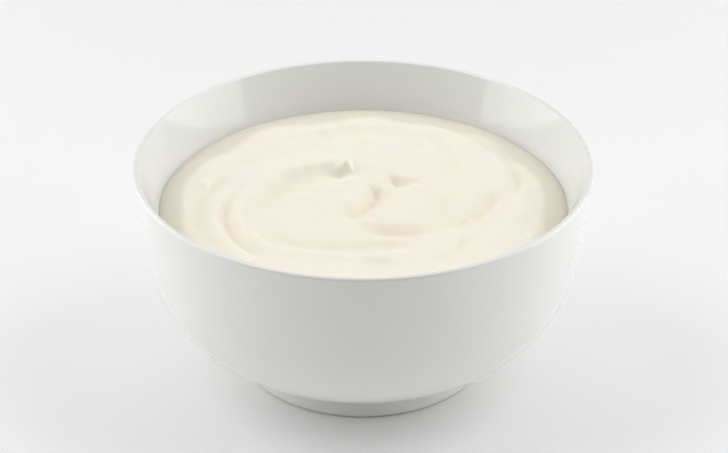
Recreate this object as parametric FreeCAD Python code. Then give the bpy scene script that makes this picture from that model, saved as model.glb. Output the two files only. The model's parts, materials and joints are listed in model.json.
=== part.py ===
import FreeCAD, Part

import math
import os
from collections import namedtuple

from FreeCAD import Vector

# A round footed bowl of glazed porcelain, filled with thick stirred yogurt.
# Millimetres.  Z is up, X runs left to right and Y from front to back.  The origin is
# the centre of the foot ring, on the surface that the bowl stands on.

# ---- bowl: overall -----------------------------------------------------------------
RIM_RADIUS = 70.0            # outside of the wall at the rim
BOWL_HEIGHT = 68.3           # from the table to the top of the lip

# ---- bowl: foot ring ---------------------------------------------------------------
FOOT_RADIUS = 38.2           # outside of the ring at the table
FOOT_FLARE = 1.0             # how much wider the ring is at the table than at the wall
FOOT_HEIGHT = 5.4            # from the table to the corner between ring and wall
FOOT_RING_WIDTH = 4.6        # across the ring at the table
FOOT_EDGE = 0.8              # rounding of the ring's two lower edges
FOOT_FILLET = 1.2            # hollow rounding between ring and wall
BASE_RECESS = 3.6            # hollow under the base, inside the ring
RECESS_FILLET = 1.5          # rounding between that hollow and the ring
RECESS_DRAFT = 0.7           # how much the hollow narrows from the table to its roof

# ---- bowl: wall --------------------------------------------------------------------
WALL_RISE = 28.9             # degrees above level at which the wall leaves the foot
WALL_PULL = 33.7             # how far the wall keeps to that direction
RIM_FLARE = 8.1              # degrees from upright at which the wall reaches the rim
RIM_PULL = 39.5              # how far the wall keeps to that direction
WALL_THICKNESS = 5.8
LIP_THICKNESS = 1.8          # thickness of the wall at the lip, which is rounded
LIP_TAPER = 17.0             # height below the lip over which the wall thins
TAPER_ROUNDING = 0.4         # share of that height that eases the taper into the wall
FLOOR_THICKNESS = 4.9
WALL_STATIONS = 24           # points worked out along the inside of the wall

# ---- yogurt ------------------------------------------------------------------------
FILL_HEIGHT = 53.1           # from the table to where the yogurt meets the wall
WALL_CLEARANCE = 0.05        # fit of the yogurt in the bowl, all round and below
SHOULDER_RISE = 3.2          # how far the surface rises from the wall to its flat part
SHOULDER_WIDTH = 9.5         # width of that rounded shoulder at the sides and front
BACK_SHOULDER_WIDTH = 16.0   # its width at the back, where it is flatter
CENTRE_CROWN = 0.9           # further rise from the flat part to the centre
SWIRL_RADIUS = 62.5          # radius of the surface that the strokes are laid out on
SURFACE_STEP = 2.2           # spacing of the surface's control net
HEADROOM = 10.0              # how far above the rim the uncut body of yogurt reaches

# A stroke is one pass of the spoon: an arc about (x, y), from one angle to another in
# degrees anticlockwise from +X, whose radius may change on the way.  Its section is a
# rounded ridge, or a groove where its height is negative, with its own width on the
# inner and the outer side.
Stroke = namedtuple(
    "Stroke", "x y radius_from radius_to angle_from angle_to inner outer height"
)
STROKE_FADE = 16.0           # degrees over which a stroke rises at its ends
TIP_POWER = 1.4              # how hollow the flanks of a tip are

MAIN_SWIRL = (-8.0, -12.0)   # centre of the turn that carries the central peak
OUTER_SWIRL = (1.0, 7.0)     # centre of the wide turn round the bowl
FRONT_SWIRL = (11.0, 8.0)    # centre of the last turn, in front of the peak
CUT_SWIRL = (-20.0, 6.0)     # centre of the short cut that ends the swirl
HOOK_SWIRL = (14.0, -24.0)   # centre of the small hook at the front right

STROKES = (
    # the main turn: a step up from the central disc, which ends in the peak
    Stroke(*MAIN_SWIRL, 30.0, 29.5, 84.0, 148.0, 2.2, 7.0, 1.7),
    Stroke(*MAIN_SWIRL, 29.5, 29.0, 148.0, 222.0, 2.2, 2.6, 1.9),
    Stroke(*MAIN_SWIRL, 24.0, 23.0, 88.0, 172.0, 5.0, 3.0, -1.0),
    # the double ridge at the left, with its groove, and the hollow outside it
    Stroke(*MAIN_SWIRL, 33.4, 33.0, 168.0, 226.0, 1.9, 1.9, -1.2),
    Stroke(*MAIN_SWIRL, 36.6, 36.2, 158.0, 224.0, 1.9, 2.4, 1.5),
    Stroke(*MAIN_SWIRL, 41.6, 42.5, 146.0, 214.0, 2.6, 2.8, -1.1),
    # the wide turn: ridge and groove at the right, groove and ridge at the front
    Stroke(*OUTER_SWIRL, 42.0, 41.0, -6.0, 68.0, 4.5, 2.2, 1.5),
    Stroke(*OUTER_SWIRL, 46.6, 46.0, -4.0, 52.0, 1.6, 2.4, -1.2),
    Stroke(*OUTER_SWIRL, 28.5, 35.0, 12.0, 58.0, 2.6, 2.0, -0.9),
    Stroke(*OUTER_SWIRL, 38.4, 40.8, 319.0, 352.0, 3.0, 2.0, -1.0),
    Stroke(*OUTER_SWIRL, 49.5, 49.5, 322.0, 352.0, 3.8, 3.0, 1.2),
    Stroke(*OUTER_SWIRL, 44.0, 38.0, 226.0, 286.0, 3.6, 2.2, -1.7),
    Stroke(*OUTER_SWIRL, 46.5, 43.5, 236.0, 300.0, 2.2, 3.6, 1.3),
    Stroke(*OUTER_SWIRL, 33.5, 33.5, 66.0, 118.0, 2.6, 3.0, -0.6),
    Stroke(*OUTER_SWIRL, 39.0, 39.0, 70.0, 140.0, 2.4, 3.0, 0.8),
    # the last turn: a trough in front of the centre, deepest in a short crescent
    Stroke(*FRONT_SWIRL, 30.8, 30.4, 246.0, 344.0, 3.6, 2.2, -1.1),
    Stroke(*FRONT_SWIRL, 30.6, 30.6, 254.0, 282.0, 3.8, 2.4, -1.7),
    # the cut: a short trough towards the front left, and its raised left bank
    Stroke(*CUT_SWIRL, 24.3, 24.3, 308.0, 354.0, 3.2, 3.6, -3.0),
    Stroke(*CUT_SWIRL, 18.6, 18.6, 322.0, 372.0, 3.0, 2.6, 0.8),
    # the hook: a thin ridge with a groove outside it
    Stroke(*HOOK_SWIRL, 12.8, 13.2, 300.0, 362.0, 2.0, 1.6, 0.8),
    Stroke(*HOOK_SWIRL, 16.0, 16.2, 296.0, 350.0, 1.6, 2.2, -0.8),
)

# A mound stands at (x, y), or sinks where its height is negative.  It is longer along
# one direction, given in degrees from +X, than across it.
Mound = namedtuple("Mound", "x y direction half_length half_width height")

MOUNDS = (
    Mound(24.0, -9.0, 90.0, 8.0, 5.0, -1.2),      # shallow dish right of the centre
    Mound(-23.0, 3.0, 25.0, 9.0, 4.5, -0.8),      # and one left of it
    Mound(13.5, -36.5, 60.0, 5.5, 3.8, -0.7),     # dish in front of the hook
    Mound(5.0, -42.5, 0.0, 5.0, 2.4, -0.5),
    Mound(-46.0, 20.0, 60.0, 8.0, 4.0, 1.0),      # soft lumps along the outer edge
    Mound(-48.5, 5.0, 95.0, 3.5, 2.4, 0.9),
    Mound(-49.0, -24.0, 120.0, 4.0, 2.6, 0.9),
    Mound(47.5, 17.0, 100.0, 4.0, 3.2, 0.9),
    Mound(51.0, 4.0, 90.0, 3.6, 2.6, 0.9),
)

# A tip is a pointed peak at (x, y), or a pointed pit where its height is negative.  It
# reaches its own distance ahead, behind, to the left and to the right, as seen along
# its direction, which is in degrees from +X.
Tip = namedtuple("Tip", "x y direction ahead behind left right height")

TIPS = (
    Tip(-4.8, 14.6, 0.0, 2.4, 8.0, 8.0, 2.2, 3.8),    # the peak that the spoon pulled up
    Tip(-7.0, 11.6, 10.0, 5.0, 5.0, 2.0, 4.0, -0.9),  # the hollow in front of it
    Tip(9.8, 8.8, -14.0, 10.0, 4.5, 3.4, 7.0, -3.4),  # the crease on its right
    Tip(8.6, 4.6, 90.0, 3.0, 3.0, 2.0, 2.0, 1.6),     # a small tip in the crease
    Tip(31.0, -14.8, 20.0, 3.4, 3.4, 3.0, 3.0, 2.2),  # a bead on the right of the trough
    Tip(-48.0, 6.0, 60.0, 3.6, 3.6, 2.6, 1.6, 1.4),   # curls along the outer edge
    Tip(49.6, -12.5, 80.0, 3.6, 3.6, 2.6, 1.6, 1.2),
    Tip(50.0, -25.0, 110.0, 3.6, 3.6, 2.6, 1.6, 1.2),
)


def ease(share):
    """Smooth rise from 0 to 1 as share goes from 0 to 1."""
    share = min(max(share, 0.0), 1.0)
    return share * share * (3.0 - 2.0 * share)


def heading(degrees):
    """Unit vector in a section's plane, at an angle above level."""
    turn = math.radians(degrees)
    return Vector(math.cos(turn), 0.0, math.sin(turn))


def arc(centre, radius, from_degrees, to_degrees):
    """Arc in a section's plane, by the headings of its two ends."""
    middle_degrees = (from_degrees + to_degrees) / 2.0
    turns = (from_degrees, middle_degrees, to_degrees)
    return Part.Arc(*[centre + heading(turn) * radius for turn in turns]).toShape()


def rounded_corner(corner, arriving, leaving, radius):
    """Arc that rounds a corner between two lines, given their headings in degrees."""
    turn = leaving - arriving
    side = math.copysign(90.0, turn)
    cut = radius * math.tan(math.radians(abs(turn)) / 2.0)
    start = corner - heading(arriving) * cut
    centre = start + heading(arriving + side) * radius
    return arc(centre, radius, arriving - side, leaving - side)


def first_point(edge):
    return edge.valueAt(edge.FirstParameter)


def last_point(edge):
    return edge.valueAt(edge.LastParameter)


def revolved(edges):
    """Solid of revolution about Z from the edges of its half section."""
    face = Part.Face(Part.Wire(Part.sortEdges(edges)[0]))
    return face.revolve(Vector(0, 0, 0), Vector(0, 0, 1), 360.0)


# ---- sections shared by the bowl and the yogurt ------------------------------------

def foot_side_heading():
    """Heading of the foot ring's outer side, in degrees, going up."""
    return 90.0 + math.degrees(math.atan2(FOOT_FLARE, FOOT_HEIGHT))


def foot_fillet():
    """Hollow rounding between the side of the foot ring and the wall."""
    corner = Vector(FOOT_RADIUS - FOOT_FLARE, 0.0, FOOT_HEIGHT)
    return rounded_corner(corner, foot_side_heading(), WALL_RISE, FOOT_FILLET)


def wall_end():
    """Upper end of the outside of the wall, where the round of the lip starts."""
    lift = LIP_THICKNESS / 2.0 * (1.0 + math.sin(math.radians(RIM_FLARE)))
    return Vector(RIM_RADIUS, 0.0, BOWL_HEIGHT - lift)


def outer_wall():
    """Outside of the wall, from the foot's rounding to the lip."""
    start = last_point(foot_fillet())
    end = wall_end()
    curve = Part.BezierCurve()
    curve.setPoles([
        start,
        start + heading(WALL_RISE) * WALL_PULL,
        end - heading(90.0 - RIM_FLARE) * RIM_PULL,
        end,
    ])
    return curve


def taper_slope():
    """How much thicker the wall grows with each millimetre down from the lip."""
    return (WALL_THICKNESS - LIP_THICKNESS) / (LIP_TAPER * (1.0 - TAPER_ROUNDING / 2.0))


def wall_thickness_at(height):
    """The wall is even up to the taper, eases into it, and thins steadily to the lip."""
    drop = wall_end().z - height
    if drop >= LIP_TAPER:
        return WALL_THICKNESS
    easing = LIP_TAPER * TAPER_ROUNDING
    left = LIP_TAPER - drop
    if left < easing:
        return WALL_THICKNESS - taper_slope() * left * left / (2.0 * easing)
    return LIP_THICKNESS + taper_slope() * drop


def inner_flare():
    """Degrees from upright at which the inside of the wall reaches the lip."""
    spread = taper_slope() * math.cos(math.radians(RIM_FLARE))
    return RIM_FLARE + math.degrees(math.atan(spread))


def lip_centre():
    """Centre of the round over the top of the wall, in the section's plane."""
    return wall_end() - heading(-RIM_FLARE) * (LIP_THICKNESS / 2.0)


def floor_height():
    return BASE_RECESS + FLOOR_THICKNESS


def inner_wall_points(clearance):
    """Points up the inside of the wall, or as far inside it as the clearance says."""
    curve = outer_wall()
    points = []
    for station in range(WALL_STATIONS + 1):
        share = station / WALL_STATIONS
        point = curve.value(share)
        along = curve.tangent(share)[0]
        inward = Vector(-along.z, 0.0, along.x)
        points.append(point + inward * (wall_thickness_at(point.z) + clearance))
    lip_reach = LIP_THICKNESS / 2.0 + clearance
    points[-1] = lip_centre() + heading(180.0 - inner_flare()) * lip_reach
    return points


def inner_wall(clearance):
    """Inside of the wall as one smooth curve, from the floor's rounding to the lip."""
    curve = Part.BSplineCurve()
    curve.interpolate(
        inner_wall_points(clearance),
        InitialTangent=heading(WALL_RISE),
        FinalTangent=heading(90.0 - inner_flare()),
    )
    return curve


def floor_edges(clearance):
    """The round from the wall to the level floor, and the floor to the axis."""
    wall_foot = inner_wall_points(clearance)[0]
    level = floor_height() + clearance
    drop = wall_foot.z - level
    radius = drop / (1.0 - math.cos(math.radians(WALL_RISE)))
    centre = wall_foot + heading(WALL_RISE + 90.0) * radius
    round_edge = arc(centre, radius, WALL_RISE - 90.0, -90.0)
    floor_edge = Part.makeLine(Vector(centre.x, 0.0, level), Vector(0.0, 0.0, level))
    return [round_edge, floor_edge]


# ---- bowl --------------------------------------------------------------------------

def foot_edges():
    """Underside and foot ring, from the axis out to the start of the outer wall."""
    inner_radius = FOOT_RADIUS - FOOT_RING_WIDTH
    roof_corner = Vector(inner_radius - RECESS_DRAFT, 0.0, BASE_RECESS)
    inner_corner = Vector(inner_radius, 0.0, 0.0)
    outer_corner = Vector(FOOT_RADIUS, 0.0, 0.0)
    recess_side = -math.degrees(math.atan2(BASE_RECESS, RECESS_DRAFT))
    corners = (
        rounded_corner(roof_corner, 0.0, recess_side, RECESS_FILLET),
        rounded_corner(inner_corner, recess_side, 0.0, FOOT_EDGE),
        rounded_corner(outer_corner, 0.0, foot_side_heading(), FOOT_EDGE),
        foot_fillet(),
    )
    edges = []
    start = Vector(0.0, 0.0, BASE_RECESS)
    for corner in corners:
        edges.append(Part.makeLine(start, first_point(corner)))
        edges.append(corner)
        start = last_point(corner)
    return edges


def lip_edge():
    """Round over the top of the wall, tangent to both its sides."""
    return arc(lip_centre(), LIP_THICKNESS / 2.0, -RIM_FLARE, 180.0 - inner_flare())


def make_bowl():
    axis_edge = Part.makeLine(Vector(0.0, 0.0, BASE_RECESS), Vector(0.0, 0.0, floor_height()))
    edges = foot_edges()
    edges.append(outer_wall().toShape())
    edges.append(lip_edge())
    edges.append(inner_wall(0.0).toShape())
    edges.extend(floor_edges(0.0))
    edges.append(axis_edge)
    return revolved(edges)


# ---- yogurt ------------------------------------------------------------------------

def surface_radius():
    """Radius at which the yogurt meets the wall."""
    points = inner_wall_points(WALL_CLEARANCE)
    for low, high in zip(points, points[1:]):
        if low.z <= FILL_HEIGHT <= high.z:
            share = (FILL_HEIGHT - low.z) / (high.z - low.z)
            return low.x + (high.x - low.x) * share
    return points[-1].x


def stroke_height(stroke, x, y):
    """Height that one stroke adds at a place on the surface."""
    span = stroke.angle_to - stroke.angle_from
    bearing = math.degrees(math.atan2(y - stroke.y, x - stroke.x))
    turn = (bearing - stroke.angle_from) % 360.0
    if turn > (span + 360.0) / 2.0:
        turn -= 360.0
    share = min(max(turn / span, 0.0), 1.0)
    radius = stroke.radius_from + (stroke.radius_to - stroke.radius_from) * share
    across = math.hypot(x - stroke.x, y - stroke.y) - radius
    width = stroke.outer if across > 0.0 else stroke.inner
    start = ease(turn / STROKE_FADE + 0.5)
    end = ease((span - turn) / STROKE_FADE + 0.5)
    return stroke.height * start * end * math.exp(-(across / width) ** 2)


def mound_height(mound, x, y):
    """Height that one mound adds at a place on the surface."""
    turn = math.radians(mound.direction)
    along = (x - mound.x) * math.cos(turn) + (y - mound.y) * math.sin(turn)
    across = (y - mound.y) * math.cos(turn) - (x - mound.x) * math.sin(turn)
    reach = (along / mound.half_length) ** 2 + (across / mound.half_width) ** 2
    return mound.height * math.exp(-reach)


def tip_height(tip, x, y):
    """Height that one tip adds at a place on the surface."""
    turn = math.radians(tip.direction)
    along = (x - tip.x) * math.cos(turn) + (y - tip.y) * math.sin(turn)
    across = (y - tip.y) * math.cos(turn) - (x - tip.x) * math.sin(turn)
    length = tip.ahead if along > 0.0 else tip.behind
    width = tip.left if across > 0.0 else tip.right
    reach = math.hypot(along / length, across / width)
    return tip.height * max(1.0 - reach, 0.0) ** TIP_POWER


def shoulder_share(x, y, edge_radius):
    """0 at the wall and 1 on the flat part: how far up the rounded shoulder."""
    bearing = math.atan2(y, x)
    back = ease(math.sin(bearing))
    width = SHOULDER_WIDTH + (BACK_SHOULDER_WIDTH - SHOULDER_WIDTH) * back
    lobes = (0.06 + 0.12 * back) * math.sin(9.0 * bearing + 3.6)
    width *= 1.0 + lobes + 0.08 * math.sin(5.0 * bearing + 0.6)
    inside = min(max((edge_radius - math.hypot(x, y)) / width, 0.0), 1.0)
    return inside * (2.0 - inside)


def surface_height(x, y, edge_radius):
    """Height of the yogurt above the table at (x, y)."""
    shoulder = shoulder_share(x, y, edge_radius)
    crown = 1.0 - ease(math.hypot(x, y) / edge_radius)
    spread = SWIRL_RADIUS / edge_radius
    relief = 0.0
    for stroke in STROKES:
        relief += stroke_height(stroke, x * spread, y * spread)
    for mound in MOUNDS:
        relief += mound_height(mound, x * spread, y * spread)
    for tip in TIPS:
        relief += tip_height(tip, x * spread, y * spread)
    return FILL_HEIGHT + SHOULDER_RISE * shoulder + CENTRE_CROWN * crown + relief * shoulder


def surface_face():
    """The swirled top of the yogurt, carried level past the wall on every side."""
    edge_radius = surface_radius()
    half = RIM_RADIUS
    count = int(math.ceil(2.0 * half / SURFACE_STEP))
    rows = []
    for row in range(count + 1):
        y = half * (2.0 * row / count - 1.0)
        columns = []
        for column in range(count + 1):
            x = half * (2.0 * column / count - 1.0)
            columns.append(Vector(x, y, surface_height(x, y, edge_radius)))
        rows.append(columns)
    surface = Part.BSplineSurface()
    surface.interpolate(rows)
    return surface.toShape()


def make_yogurt():
    """What fills the bowl: the hollow of the bowl, cut off by the swirled surface."""
    wall = inner_wall(WALL_CLEARANCE)
    wall_upper = wall.value(wall.LastParameter)
    ceiling = max(BOWL_HEIGHT, FILL_HEIGHT) + HEADROOM
    floor_centre = Vector(0.0, 0.0, floor_height() + WALL_CLEARANCE)
    top_centre = Vector(0.0, 0.0, ceiling)
    top_corner = Vector(wall_upper.x, 0.0, ceiling)
    edges = [wall.toShape()]
    edges.extend(floor_edges(WALL_CLEARANCE))
    edges.append(Part.makeLine(floor_centre, top_centre))
    edges.append(Part.makeLine(top_centre, top_corner))
    edges.append(Part.makeLine(top_corner, wall_upper))
    hollow = revolved(edges)
    below_surface = surface_face().extrude(Vector(0.0, 0.0, -FILL_HEIGHT))
    return hollow.common(below_surface).Solids[0]


os.makedirs("parts", exist_ok=True)
make_bowl().exportStep("parts/bowl.step")
make_yogurt().exportStep("parts/yogurt.step")
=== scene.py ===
import json
import math
from collections import namedtuple

import bpy
import numpy as np
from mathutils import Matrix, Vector, noise

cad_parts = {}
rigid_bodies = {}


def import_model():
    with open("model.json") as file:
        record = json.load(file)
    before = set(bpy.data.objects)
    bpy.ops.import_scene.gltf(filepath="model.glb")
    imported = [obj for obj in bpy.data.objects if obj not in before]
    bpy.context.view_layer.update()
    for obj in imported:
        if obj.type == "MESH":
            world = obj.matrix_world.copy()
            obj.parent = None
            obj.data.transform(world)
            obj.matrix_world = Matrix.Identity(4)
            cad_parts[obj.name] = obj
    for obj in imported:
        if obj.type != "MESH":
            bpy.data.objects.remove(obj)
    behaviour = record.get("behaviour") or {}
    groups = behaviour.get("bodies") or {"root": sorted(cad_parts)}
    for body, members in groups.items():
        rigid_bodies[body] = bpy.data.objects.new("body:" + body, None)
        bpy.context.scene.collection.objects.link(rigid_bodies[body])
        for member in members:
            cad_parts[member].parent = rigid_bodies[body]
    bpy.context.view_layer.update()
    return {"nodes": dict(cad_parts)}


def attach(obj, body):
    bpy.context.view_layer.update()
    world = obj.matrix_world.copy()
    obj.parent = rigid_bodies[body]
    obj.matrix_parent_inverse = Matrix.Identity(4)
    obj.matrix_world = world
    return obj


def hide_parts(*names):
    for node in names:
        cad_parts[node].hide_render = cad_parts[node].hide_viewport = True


MM = 0.001

# ---- where the camera stands --------------------------------------------------------
CAMERA_DISTANCE = 0.840      # from the point that it looks at
CAMERA_RISE = 29.85          # degrees above level
CAMERA_SIDE = 0.00023        # how far it stands to the right of the bowl's axis
AIM_HEIGHT = 0.0454          # height of the point on the axis that it looks at
CAMERA_LENS = 134.9          # on a 36 mm wide sensor

# ---- the yogurt's surface, in millimetres --------------------------------------------
SHOULDER_RISE = 3.2          # how far the surface rises from the wall to its flat part
SHOULDER_WIDTH = 9.5         # width of that rounded shoulder at the sides and front
BACK_SHOULDER_WIDTH = 16.0   # its width at the back, where it is flatter
EVEN_LOBES = 0.06            # share by which that width swings slowly in and out
BACK_LOBES = 0.12            # further share of it at the back
FINE_LOBES = 0.08            # share by which it swings in a second, slower rhythm
CENTRE_CROWN = 0.9           # further rise from the flat part to the centre
SHADED_FILM_START = -0.75           # where the darker edge starts to show, partly a shallow layer and partly painted shade from the wall: front -1, back 1
SHADED_FILM_SPAN = 0.7              # how much further back it shows in full
WALL_BITE = 0.25             # how far the edge of the yogurt reaches into the wall
NET_SIDE = 288               # quads along each side of the surface's net
SKIRT_RINGS = 14             # rings down the hidden side of the yogurt

# A stroke is one pass of the spoon: an arc about (x, y), from one angle to another in
# degrees anticlockwise from +X, whose radius may change on the way.  Its section is a
# rounded ridge, or a groove where its height is negative, with its own width on the
# inner and the outer side.
Stroke = namedtuple(
    "Stroke", "x y radius_from radius_to angle_from angle_to inner outer height"
)
STROKE_FADE = 16.0           # degrees over which a stroke rises at its ends
TIP_POWER = 1.4              # how hollow the flanks of a tip are
MARK_WIDTH = 4.5             # from one drag mark to the next
MARK_HEIGHT = 0.35
MARK_TURN = 5.0              # how fast a drag mark changes on its way round
FINE_MARK_SHARE = 0.25       # height of the finer marks on top, as a share
FINE_MARK_SCALE = 2.3        # how many times finer they are
SOFTENING = 3                # rounds of smoothing that take the edge off every mark
SOFTENING_SHARE = 0.5        # how far each round moves a height to its neighbours' mean

MAIN_SWIRL = (-8.0, -12.0)   # centre of the turn that carries the central peak
OUTER_SWIRL = (1.0, 7.0)     # centre of the wide turn round the bowl
FRONT_SWIRL = (11.0, 8.0)    # centre of the last turn, in front of the peak
CUT_SWIRL = (-20.0, 6.0)     # centre of the short cut that ends the swirl
HOOK_SWIRL = (14.0, -24.0)   # centre of the small hook at the front right

STROKES = (
    # the main turn: a step up from the central disc, which ends in the peak
    Stroke(*MAIN_SWIRL, 30.0, 29.5, 84.0, 148.0, 2.2, 7.0, 1.7),
    Stroke(*MAIN_SWIRL, 29.5, 29.0, 148.0, 222.0, 2.2, 2.6, 1.9),
    Stroke(*MAIN_SWIRL, 24.0, 23.0, 88.0, 172.0, 5.0, 3.0, -1.0),
    # the double ridge at the left, with its groove, and the hollow outside it
    Stroke(*MAIN_SWIRL, 33.4, 33.0, 168.0, 226.0, 1.9, 1.9, -1.2),
    Stroke(*MAIN_SWIRL, 36.6, 36.2, 158.0, 224.0, 1.9, 2.4, 1.5),
    Stroke(*MAIN_SWIRL, 41.6, 42.5, 146.0, 214.0, 2.6, 2.8, -1.1),
    # the wide turn: ridge and groove at the right, groove and ridge at the front
    Stroke(*OUTER_SWIRL, 42.0, 41.0, -6.0, 68.0, 4.5, 2.2, 1.5),
    Stroke(*OUTER_SWIRL, 46.6, 46.0, -4.0, 52.0, 1.6, 2.4, -1.2),
    Stroke(*OUTER_SWIRL, 28.5, 35.0, 12.0, 58.0, 2.6, 2.0, -0.9),
    Stroke(*OUTER_SWIRL, 38.4, 40.8, 319.0, 352.0, 3.0, 2.0, -1.0),
    Stroke(*OUTER_SWIRL, 49.5, 49.5, 322.0, 352.0, 3.8, 3.0, 1.2),
    Stroke(*OUTER_SWIRL, 44.0, 38.0, 226.0, 286.0, 3.6, 2.2, -1.7),
    Stroke(*OUTER_SWIRL, 46.5, 43.5, 236.0, 300.0, 2.2, 3.6, 1.3),
    Stroke(*OUTER_SWIRL, 33.5, 33.5, 66.0, 118.0, 2.6, 3.0, -0.6),
    Stroke(*OUTER_SWIRL, 39.0, 39.0, 70.0, 140.0, 2.4, 3.0, 0.8),
    # the last turn: a trough in front of the centre, deepest in a short crescent
    Stroke(*FRONT_SWIRL, 30.8, 30.4, 246.0, 344.0, 3.6, 2.2, -1.1),
    Stroke(*FRONT_SWIRL, 30.6, 30.6, 254.0, 282.0, 3.8, 2.4, -1.7),
    # the cut: a short trough towards the front left, and its raised left bank
    Stroke(*CUT_SWIRL, 24.3, 24.3, 308.0, 354.0, 3.2, 3.6, -3.0),
    Stroke(*CUT_SWIRL, 18.6, 18.6, 322.0, 372.0, 3.0, 2.6, 0.8),
    # the hook: a thin ridge with a groove outside it
    Stroke(*HOOK_SWIRL, 12.8, 13.2, 300.0, 362.0, 2.0, 1.6, 0.8),
    Stroke(*HOOK_SWIRL, 16.0, 16.2, 296.0, 350.0, 1.6, 2.2, -0.8),
)

# A mound stands at (x, y), or sinks where its height is negative.  It is longer along
# one direction, given in degrees from +X, than across it.
Mound = namedtuple("Mound", "x y direction half_length half_width height")

MOUNDS = (
    Mound(24.0, -9.0, 90.0, 8.0, 5.0, -1.2),      # shallow dish right of the centre
    Mound(-23.0, 3.0, 25.0, 9.0, 4.5, -0.8),      # and one left of it
    Mound(13.5, -36.5, 60.0, 5.5, 3.8, -0.7),     # dish in front of the hook
    Mound(5.0, -42.5, 0.0, 5.0, 2.4, -0.5),
    Mound(-46.0, 20.0, 60.0, 8.0, 4.0, 1.0),      # soft lumps along the outer edge
    Mound(-48.5, 5.0, 95.0, 3.5, 2.4, 0.9),
    Mound(-49.0, -24.0, 120.0, 4.0, 2.6, 0.9),
    Mound(47.5, 17.0, 100.0, 4.0, 3.2, 0.9),
    Mound(51.0, 4.0, 90.0, 3.6, 2.6, 0.9),
)

# A tip is a pointed peak at (x, y), or a pointed pit where its height is negative.  It
# reaches its own distance ahead, behind, to the left and to the right, as seen along
# its direction, which is in degrees from +X.
Tip = namedtuple("Tip", "x y direction ahead behind left right height")

TIPS = (
    Tip(-4.8, 14.6, 0.0, 2.4, 8.0, 8.0, 2.2, 3.8),    # the peak that the spoon pulled up
    Tip(-7.0, 11.6, 10.0, 5.0, 5.0, 2.0, 4.0, -0.9),  # the hollow in front of it
    Tip(9.8, 8.8, -14.0, 10.0, 4.5, 3.4, 7.0, -3.4),  # the crease on its right
    Tip(8.6, 4.6, 90.0, 3.0, 3.0, 2.0, 2.0, 1.6),     # a small tip in the crease
    Tip(31.0, -14.8, 20.0, 3.4, 3.4, 3.0, 3.0, 2.2),  # a bead on the right of the trough
    Tip(-48.0, 6.0, 60.0, 3.6, 3.6, 2.6, 1.6, 1.4),   # curls along the outer edge
    Tip(49.6, -12.5, 80.0, 3.6, 3.6, 2.6, 1.6, 1.2),
    Tip(50.0, -25.0, 110.0, 3.6, 3.6, 2.6, 1.6, 1.2),
)


# ---- finishes and light -------------------------------------------------------------
GLAZE = (0.86, 0.87, 0.845, 1.0)
GLAZE_SHADED = (0.845, 0.855, 0.83, 1.0)
BARE_CLAY = (0.74, 0.70, 0.63, 1.0)
WIPED_FROM = 0.0007          # metres up the foot ring: bare clay up to here
WIPED_TO = 0.0012            # and glaze from here on
YOGURT = (0.97, 0.902, 0.80, 1.0)
YOGURT_SHADED = (0.955, 0.882, 0.775, 1.0)
# painted shade and warm bounce light: deeper cream in the hollows of the relief
YOGURT_HOLLOW_SHADE = (0.945, 0.86, 0.72, 1.0)
# darker edge against the wall: partly a shallow layer of yogurt, partly painted shade from
# the wall
YOGURT_FILM_AND_SHADE = (0.81, 0.76, 0.65, 1.0)
CARD = (0.985, 0.985, 0.985, 1.0)
CARD_SHADED = (0.98, 0.98, 0.98, 1.0)
# painted shade: the card is greyer behind the bowl
CARD_SHADE_BEHIND = (0.87, 0.87, 0.87, 1.0)

ROOM_BELOW = 0.21            # strength of the room's light at and under the horizon
ROOM_ABOVE = 0.37            # and straight overhead
SIDE_LIGHT_REACH = 0.6       # metres from the bowl's axis to each side panel
SIDE_LIGHT_BACK = 0.135
SIDE_LIGHT_HEIGHT = 0.75
SIDE_LIGHT_POWER = 7.2
BACK_LIGHT_POWER = 2.6


# ---- shapes -------------------------------------------------------------------------

def ease(share):
    """Smooth rise from 0 to 1 as share goes from 0 to 1."""
    share = np.clip(share, 0.0, 1.0)
    return share * share * (3.0 - 2.0 * share)


def stroke_height(stroke, x, y):
    """Height that one stroke adds at places on the surface."""
    span = stroke.angle_to - stroke.angle_from
    bearing = np.degrees(np.arctan2(y - stroke.y, x - stroke.x))
    turn = (bearing - stroke.angle_from) % 360.0
    turn = np.where(turn > (span + 360.0) / 2.0, turn - 360.0, turn)
    share = np.clip(turn / span, 0.0, 1.0)
    radius = stroke.radius_from + (stroke.radius_to - stroke.radius_from) * share
    across = np.hypot(x - stroke.x, y - stroke.y) - radius
    width = np.where(across > 0.0, stroke.outer, stroke.inner)
    start = ease(turn / STROKE_FADE + 0.5)
    end = ease((span - turn) / STROKE_FADE + 0.5)
    return stroke.height * start * end * np.exp(-(across / width) ** 2)


def mound_height(mound, x, y):
    """Height that one mound adds at places on the surface."""
    turn = math.radians(mound.direction)
    along = (x - mound.x) * math.cos(turn) + (y - mound.y) * math.sin(turn)
    across = (y - mound.y) * math.cos(turn) - (x - mound.x) * math.sin(turn)
    reach = (along / mound.half_length) ** 2 + (across / mound.half_width) ** 2
    return mound.height * np.exp(-reach)


def tip_height(tip, x, y):
    """Height that one tip adds at places on the surface."""
    turn = math.radians(tip.direction)
    along = (x - tip.x) * math.cos(turn) + (y - tip.y) * math.sin(turn)
    across = (y - tip.y) * math.cos(turn) - (x - tip.x) * math.sin(turn)
    length = np.where(along > 0.0, tip.ahead, tip.behind)
    width = np.where(across > 0.0, tip.left, tip.right)
    reach = np.hypot(along / length, across / width)
    return tip.height * np.clip(1.0 - reach, 0.0, 1.0) ** TIP_POWER


def shoulder_reach(x, y, edge_radius):
    """How far in from the wall, from 0 at the wall to 1 where the shoulder ends."""
    bearing = np.arctan2(y, x)
    back = ease(np.sin(bearing))
    width = SHOULDER_WIDTH + (BACK_SHOULDER_WIDTH - SHOULDER_WIDTH) * back
    lobes = (EVEN_LOBES + BACK_LOBES * back) * np.sin(9.0 * bearing + 3.6)
    width = width * (1.0 + lobes + FINE_LOBES * np.sin(5.0 * bearing + 0.6))
    return np.clip((edge_radius - np.hypot(x, y)) / width, 0.0, 1.0)


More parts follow.
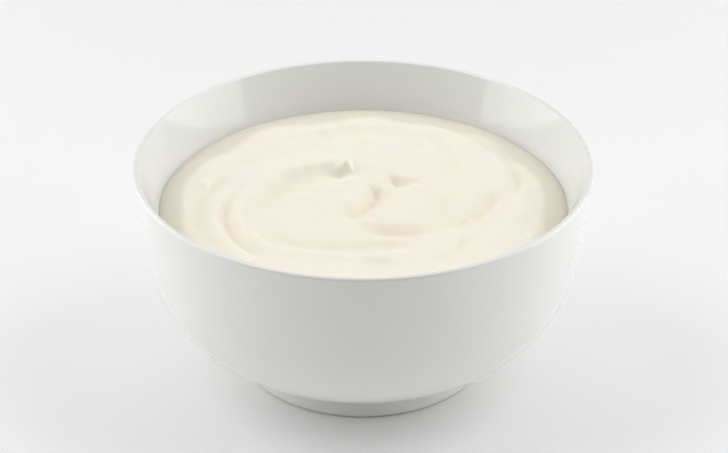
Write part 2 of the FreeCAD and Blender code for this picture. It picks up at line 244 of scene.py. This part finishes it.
def edge_film_shade_share(x, y, reach):
    """How much the darker edge against the wall shows, partly a shallow layer and partly
    painted shade: all of it but at the front.
    """
    backwards = y / np.maximum(np.hypot(x, y), 0.1)
    return (1.0 - reach) * ease((backwards - SHADED_FILM_START) / SHADED_FILM_SPAN)


def drag_marks(x, y):
    """Uneven marks that the spoon dragged out along the wide turn."""
    across = x - OUTER_SWIRL[0]
    up = y - OUTER_SWIRL[1]
    radius = np.hypot(across, up)
    safe = np.maximum(radius, 0.1)
    places = np.stack(
        [radius / MARK_WIDTH, MARK_TURN * across / safe, MARK_TURN * up / safe], axis=1
    )
    marks = [
        noise.noise(place) + FINE_MARK_SHARE * noise.noise(place * FINE_MARK_SCALE)
        for place in map(Vector, places)
    ]
    return np.array(marks)


def surface_form(x, y, edge_radius):
    """Height of the plain domed surface above the edge of the yogurt at (x, y)."""
    reach = shoulder_reach(x, y, edge_radius)
    crown = 1.0 - ease(np.hypot(x, y) / edge_radius)
    return SHOULDER_RISE * reach * (2.0 - reach) + CENTRE_CROWN * crown


def surface_relief(x, y):
    """Height that the spoon's strokes and marks add to the plain surface at (x, y)."""
    relief = MARK_HEIGHT * drag_marks(x, y)
    for stroke in STROKES:
        relief += stroke_height(stroke, x, y)
    for mound in MOUNDS:
        relief += mound_height(mound, x, y)
    for tip in TIPS:
        relief += tip_height(tip, x, y)
    return relief


def softened(heights):
    """The same heights with their sharpest edges rounded, as thick yogurt settles."""
    grid = heights.reshape(NET_SIDE + 1, NET_SIDE + 1)
    for _ in range(SOFTENING):
        inner = grid[1:-1, 1:-1]
        around = grid[:-2, 1:-1] + grid[2:, 1:-1] + grid[1:-1, :-2] + grid[1:-1, 2:]
        grid = grid.copy()
        grid[1:-1, 1:-1] = (1.0 - SOFTENING_SHARE) * inner + SOFTENING_SHARE / 4.0 * around
    return grid.ravel()


def round_net(side):
    """A square net of quads bent evenly over the unit disc: x, y and the faces."""
    steps = np.linspace(-1.0, 1.0, side + 1)
    a, b = np.meshgrid(steps, steps)
    wide = np.abs(a) > np.abs(b)
    radius = np.where(wide, a, b)
    safe = np.where(radius == 0.0, 1.0, radius)
    quarter = math.pi / 4.0
    turn = np.where(wide, quarter * b / safe, 2.0 * quarter - quarter * a / safe)
    index = np.arange((side + 1) ** 2).reshape(side + 1, side + 1)
    faces = np.stack(
        [index[:-1, :-1], index[:-1, 1:], index[1:, 1:], index[1:, :-1]], axis=-1
    ).reshape(-1, 4)
    return (radius * np.cos(turn)).ravel(), (radius * np.sin(turn)).ravel(), index, faces


def net_border(index):
    """The net's outermost points, in order round the disc."""
    return np.concatenate(
        [index[0, :-1], index[:-1, -1], index[-1, :0:-1], index[:0:-1, 0]]
    )


def fill_profile(node, rings):
    """Heights and radii of a CAD filling's side, from its edge down to its floor."""
    points = np.array([v.co for v in node.data.vertices]) / MM
    reach = np.hypot(points[:, 0], points[:, 1])
    edge_height = points[reach > reach.max() - 0.1, 2].mean()
    low = points[:, 2].min()
    heights = edge_height + (low - edge_height) * np.linspace(0.0, 1.0, rings)
    spacing = heights[0] - heights[1]
    radii = []
    for height in heights:
        near = np.abs(points[:, 2] - height) < 0.25 * spacing
        radii.append(reach[near].max())
    return heights, np.array(radii)


def mark_points(mesh, name, values):
    """Keep one number for each point of a mesh, for its material to read."""
    layer = mesh.attributes.new(name, "FLOAT", "POINT")
    layer.data.foreach_set("value", values)


def build_yogurt(node):
    """The yogurt as one closed mesh: its swirled top, its side down the wall, its base."""
    heights, radii = fill_profile(node, SKIRT_RINGS)
    edge_radius = radii[0] + WALL_BITE
    disc_x, disc_y, index, faces = round_net(NET_SIDE)
    x = disc_x * edge_radius
    y = disc_y * edge_radius
    reach = shoulder_reach(x, y, edge_radius)
    relief = softened(surface_relief(x, y)) * reach * (2.0 - reach)
    z = heights[0] + surface_form(x, y, edge_radius) + relief
    points = [np.stack([x, y, z], axis=1)]
    quads = [faces]
    border = net_border(index)
    around = len(border)
    above = border
    count = len(x)
    for height, radius in zip(heights[1:], radii[1:]):
        ring_x = disc_x[border] * (radius + WALL_BITE)
        ring_y = disc_y[border] * (radius + WALL_BITE)
        points.append(np.stack([ring_x, ring_y, np.full(around, height)], axis=1))
        ring = np.arange(count, count + around)
        quads.append(np.stack([above, ring, np.roll(ring, -1), np.roll(above, -1)], axis=1))
        above = ring
        count += around
    mesh = bpy.data.meshes.new("yogurt_swirl")
    corners = np.concatenate(points) * MM
    base = [list(above[::-1])]
    mesh.from_pydata(corners.tolist(), [], np.concatenate(quads).tolist() + base)
    mesh.validate()
    mesh.shade_smooth()
    side_count = len(corners) - len(x)
    # how much of the darker edge shows: partly a shallow layer, partly painted shade from
    # the wall
    mark_points(mesh, "edge_film_shade", np.append(edge_film_shade_share(x, y, reach), np.ones(side_count)))
    # how deep each hollow is, for the painted shade and bounce light there
    mark_points(mesh, "hollow", np.append(-relief, np.zeros(side_count)))
    piece = bpy.data.objects.new("yogurt_swirl", mesh)
    bpy.context.scene.collection.objects.link(piece)
    return piece


# ---- finishes -----------------------------------------------------------------------

def new_group(name, inputs, outputs):
    """Empty shader node group with named sockets: inputs are (name, kind, default)."""
    group = bpy.data.node_groups.new(name, "ShaderNodeTree")
    for label, kind, default in inputs:
        socket = group.interface.new_socket(label, in_out="INPUT", socket_type=kind)
        socket.default_value = default
    for label, kind in outputs:
        group.interface.new_socket(label, in_out="OUTPUT", socket_type=kind)
    return group


def add(tree, kind, **settings):
    """New node in a tree, with its properties and, by name, its input values."""
    node = tree.nodes.new(kind)
    for name, value in settings.pop("values", {}).items():
        node.inputs[name].default_value = value
    for name, value in settings.items():
        setattr(node, name, value)
    return node


def soft_drift_group():
    """Slow drift between two tones, as light and thickness vary over a real surface."""
    group = new_group(
        "soft_drift",
        [
            ("Tone", "NodeSocketColor", (0.8, 0.8, 0.8, 1.0)),
            ("Second Tone", "NodeSocketColor", (0.7, 0.7, 0.7, 1.0)),
            ("Patch Scale", "NodeSocketFloat", 30.0),
        ],
        [("Color", "NodeSocketColor"), ("Mask", "NodeSocketFloat")],
    )
    source = add(group, "NodeGroupInput")
    result = add(group, "NodeGroupOutput")
    place = add(group, "ShaderNodeTexCoord")
    cloud = add(group, "ShaderNodeTexNoise", values={"Detail": 3.0, "Roughness": 0.5})
    spread = add(group, "ShaderNodeMapRange", values={"From Min": 0.3, "From Max": 0.7})
    blend = add(group, "ShaderNodeMix", data_type="RGBA")
    link = group.links.new
    link(place.outputs["Object"], cloud.inputs["Vector"])
    link(source.outputs["Patch Scale"], cloud.inputs["Scale"])
    link(cloud.outputs["Fac"], spread.inputs["Value"])
    link(spread.outputs["Result"], blend.inputs[0])
    link(source.outputs["Tone"], blend.inputs[6])
    link(source.outputs["Second Tone"], blend.inputs[7])
    link(blend.outputs[2], result.inputs["Color"])
    link(spread.outputs["Result"], result.inputs["Mask"])
    return group


def fine_relief_group():
    """Relief in two sizes, broad and fine, as one height for a Bump node."""
    group = new_group(
        "fine_relief",
        [
            ("Broad Scale", "NodeSocketFloat", 80.0),
            ("Fine Scale", "NodeSocketFloat", 900.0),
            ("Fine Share", "NodeSocketFloat", 0.3),
        ],
        [("Height", "NodeSocketFloat")],
    )
    source = add(group, "NodeGroupInput")
    result = add(group, "NodeGroupOutput")
    place = add(group, "ShaderNodeTexCoord")
    broad = add(group, "ShaderNodeTexNoise", values={"Detail": 2.0, "Roughness": 0.4})
    fine = add(group, "ShaderNodeTexNoise", values={"Detail": 3.0, "Roughness": 0.6})
    both = add(group, "ShaderNodeMix", data_type="FLOAT")
    link = group.links.new
    link(place.outputs["Object"], broad.inputs["Vector"])
    link(place.outputs["Object"], fine.inputs["Vector"])
    link(source.outputs["Broad Scale"], broad.inputs["Scale"])
    link(source.outputs["Fine Scale"], fine.inputs["Scale"])
    link(source.outputs["Fine Share"], both.inputs[0])
    link(broad.outputs["Fac"], both.inputs[2])
    link(fine.outputs["Fac"], both.inputs[3])
    link(both.outputs[0], result.inputs["Height"])
    return group


def use_group(tree, group, **values):
    """Place a shared group in a material, with its values by socket name."""
    node = tree.nodes.new("ShaderNodeGroup")
    node.node_tree = group
    for name, value in values.items():
        node.inputs[name.replace("_", " ")].default_value = value
    return node


def new_material(name):
    """New material, with its node tree and its Principled shader."""
    material = bpy.data.materials.new(name)
    material.use_nodes = True
    tree = material.node_tree
    shader = tree.nodes["Principled BSDF"]
    return material, tree, shader


def glazed_porcelain(drift, relief):
    """White porcelain under a clear glaze, bare where the foot ring was wiped."""
    material, tree, shader = new_material("glazed_porcelain")
    link = tree.links.new
    tone = use_group(
        tree, drift,
        Tone=GLAZE, Second_Tone=GLAZE_SHADED, Patch_Scale=25.0,
    )
    height = use_group(tree, relief, Broad_Scale=70.0, Fine_Scale=500.0, Fine_Share=0.1)
    bump = add(tree, "ShaderNodeBump", values={"Strength": 0.05, "Distance": 0.0004})
    place = add(tree, "ShaderNodeTexCoord")
    split = add(tree, "ShaderNodeSeparateXYZ")
    wiped = add(
        tree, "ShaderNodeMapRange",
        values={"From Min": WIPED_FROM, "From Max": WIPED_TO, "To Min": 1.0, "To Max": 0.0},
    )
    body = add(tree, "ShaderNodeMix", data_type="RGBA")
    body.inputs[7].default_value = BARE_CLAY
    gloss = add(tree, "ShaderNodeMapRange", values={"To Min": 0.09, "To Max": 0.62})
    link(place.outputs["Object"], split.inputs["Vector"])
    link(split.outputs["Z"], wiped.inputs["Value"])
    link(wiped.outputs["Result"], body.inputs[0])
    link(tone.outputs["Color"], body.inputs[6])
    link(body.outputs[2], shader.inputs["Base Color"])
    link(wiped.outputs["Result"], gloss.inputs["Value"])
    link(gloss.outputs["Result"], shader.inputs["Roughness"])
    link(height.outputs["Height"], bump.inputs["Height"])
    link(bump.outputs["Normal"], shader.inputs["Normal"])
    shader.inputs["IOR"].default_value = 1.5
    return material


def stirred_yogurt(drift, relief):
    """Thick yogurt with a moist, soft shine: painted shade and bounce light make it
    creamier in hollows, and a shallow layer with painted shade darkens it at the wall.
    """
    material, tree, shader = new_material("stirred_yogurt")
    link = tree.links.new
    tone = use_group(
        tree, drift,
        Tone=YOGURT, Second_Tone=YOGURT_SHADED, Patch_Scale=45.0,
    )
    # painted shade at the wall, partly a shallow layer: darker edge band
    film_shade = add(tree, "ShaderNodeAttribute", attribute_name="edge_film_shade")
    film_shade_share = add(tree, "ShaderNodeMapRange", values={"From Min": 0.12, "From Max": 0.35})
    # painted shade and bounce light: deeper cream where the relief sinks
    hollow = add(tree, "ShaderNodeAttribute", attribute_name="hollow")
    hollow_shade_share = add(tree, "ShaderNodeMapRange", values={"From Min": -0.6, "From Max": 2.0})
    hollow_shade = add(tree, "ShaderNodeMix", data_type="RGBA")
    hollow_shade.inputs[7].default_value = YOGURT_HOLLOW_SHADE
    body = add(tree, "ShaderNodeMix", data_type="RGBA")
    body.inputs[7].default_value = YOGURT_FILM_AND_SHADE
    height = use_group(tree, relief, Broad_Scale=160.0, Fine_Scale=1400.0, Fine_Share=0.35)
    bump = add(tree, "ShaderNodeBump", values={"Strength": 0.25, "Distance": 0.0003})
    moist = add(tree, "ShaderNodeMapRange", values={"To Min": 0.28, "To Max": 0.42})
    link(film_shade.outputs["Fac"], film_shade_share.inputs["Value"])
    link(film_shade_share.outputs["Result"], body.inputs[0])
    link(hollow.outputs["Fac"], hollow_shade_share.inputs["Value"])
    link(hollow_shade_share.outputs["Result"], hollow_shade.inputs[0])
    link(tone.outputs["Color"], hollow_shade.inputs[6])
    link(hollow_shade.outputs[2], body.inputs[6])
    link(body.outputs[2], shader.inputs["Base Color"])
    link(tone.outputs["Mask"], moist.inputs["Value"])
    link(moist.outputs["Result"], shader.inputs["Roughness"])
    link(height.outputs["Height"], bump.inputs["Height"])
    link(bump.outputs["Normal"], shader.inputs["Normal"])
    shader.inputs["Subsurface Weight"].default_value = 0.6
    shader.inputs["Subsurface Radius"].default_value = (1.0, 0.7, 0.4)
    shader.inputs["Subsurface Scale"].default_value = 0.0013
    shader.inputs["IOR"].default_value = 1.36
    return material


def studio_card(drift):
    """Matte white card, with painted shade making it a little greyer behind the bowl than
    in front of it.
    """
    material, tree, shader = new_material("studio_card")
    near = use_group(
        tree, drift,
        Tone=CARD, Second_Tone=CARD_SHADED, Patch_Scale=3.0,
    )
    place = add(tree, "ShaderNodeTexCoord")
    split = add(tree, "ShaderNodeSeparateXYZ")
    # painted shade: greyer towards the back
    shade_behind = add(tree, "ShaderNodeMapRange", values={"From Min": -0.07, "From Max": 0.1})
    tone = add(tree, "ShaderNodeMix", data_type="RGBA")
    tone.inputs[7].default_value = CARD_SHADE_BEHIND
    link = tree.links.new
    link(place.outputs["Object"], split.inputs["Vector"])
    link(split.outputs["Y"], shade_behind.inputs["Value"])
    link(shade_behind.outputs["Result"], tone.inputs[0])
    link(near.outputs["Color"], tone.inputs[6])
    link(tone.outputs[2], shader.inputs["Base Color"])
    shader.inputs["Roughness"].default_value = 0.55
    shader.inputs["Specular IOR Level"].default_value = 0.3
    return material


# ---- studio -------------------------------------------------------------------------

def lay_card(material):
    """A sheet of card that lies flat and curves up far behind the bowl."""
    half_width = 4.0
    front = -2.5
    back = 2.6
    bend = 1.2
    height = 3.0
    turns = np.linspace(0.0, math.pi / 2.0, 24)
    line = [(front, 0.0)]
    line += [(back + bend * math.sin(t), bend * (1.0 - math.cos(t))) for t in turns]
    line.append((back + bend, height))
    corners = [(side * half_width, y, z) for y, z in line for side in (-1.0, 1.0)]
    faces = [(2 * i, 2 * i + 1, 2 * i + 3, 2 * i + 2) for i in range(len(line) - 1)]
    mesh = bpy.data.meshes.new("card")
    mesh.from_pydata(corners, [], faces)
    mesh.shade_smooth()
    mesh.materials.append(material)
    card = bpy.data.objects.new("card", mesh)
    bpy.context.scene.collection.objects.link(card)


def hang_light(name, place, aim, width, height, power):
    """Rectangular soft light at a place, turned towards a point."""
    lamp = bpy.data.lights.new(name, "AREA")
    lamp.shape = "RECTANGLE"
    lamp.size = width
    lamp.size_y = height
    lamp.energy = power
    stand = bpy.data.objects.new(name, lamp)
    stand.location = place
    stand.rotation_euler = (Vector(aim) - Vector(place)).to_track_quat("-Z", "Y").to_euler()
    bpy.context.scene.collection.objects.link(stand)


def light_studio():
    """A soft panel on each side, one high behind, in a room that is lighter overhead."""
    world = bpy.data.worlds.new("room")
    world.use_nodes = True
    tree = world.node_tree
    room = tree.nodes["Background"]
    room.inputs["Color"].default_value = (1.0, 1.0, 1.0, 1.0)
    place = add(tree, "ShaderNodeTexCoord")
    split = add(tree, "ShaderNodeSeparateXYZ")
    glow = add(
        tree, "ShaderNodeMapRange", values={"To Min": ROOM_BELOW, "To Max": ROOM_ABOVE}
    )
    tree.links.new(place.outputs["Generated"], split.inputs["Vector"])
    tree.links.new(split.outputs["Z"], glow.inputs["Value"])
    tree.links.new(glow.outputs["Result"], room.inputs["Strength"])
    bpy.context.scene.world = world
    for name, side in (("left_light", -1.0), ("right_light", 1.0)):
        place = (side * SIDE_LIGHT_REACH, SIDE_LIGHT_BACK, SIDE_LIGHT_HEIGHT)
        aim = (0.0, SIDE_LIGHT_BACK, SIDE_LIGHT_HEIGHT)
        hang_light(name, place, aim, 0.73, 1.5, SIDE_LIGHT_POWER)
    hang_light("back_light", (0.0, 0.7, 1.2), (0.0, 0.0, 0.05), 1.2, 0.8, BACK_LIGHT_POWER)


def place_camera():
    """Camera in front of the bowl, looking down at it."""
    rise = math.radians(CAMERA_RISE)
    view = bpy.data.cameras.new("camera")
    view.sensor_width = 36.0
    view.lens = CAMERA_LENS
    camera = bpy.data.objects.new("camera", view)
    aim = Vector((CAMERA_SIDE, 0.0, AIM_HEIGHT))
    camera.location = aim + Vector((0.0, -math.cos(rise), math.sin(rise))) * CAMERA_DISTANCE
    camera.rotation_euler = (math.pi / 2.0 - rise, 0.0, 0.0)
    bpy.context.scene.collection.objects.link(camera)
    bpy.context.scene.camera = camera


def main():
    for leftover in list(bpy.data.objects):
        bpy.data.objects.remove(leftover)
    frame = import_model()
    place_camera()
    light_studio()

    drift = soft_drift_group()
    relief = fine_relief_group()
    lay_card(studio_card(drift))

    bowl = frame["nodes"]["bowl"]
    bowl.data.materials[0] = glazed_porcelain(drift, relief)

    yogurt = build_yogurt(frame["nodes"]["yogurt"])
    yogurt.data.materials.append(stirred_yogurt(drift, relief))
    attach(yogurt, "root")
    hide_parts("yogurt")

    bpy.context.scene.view_settings.view_transform = "Standard"


main()
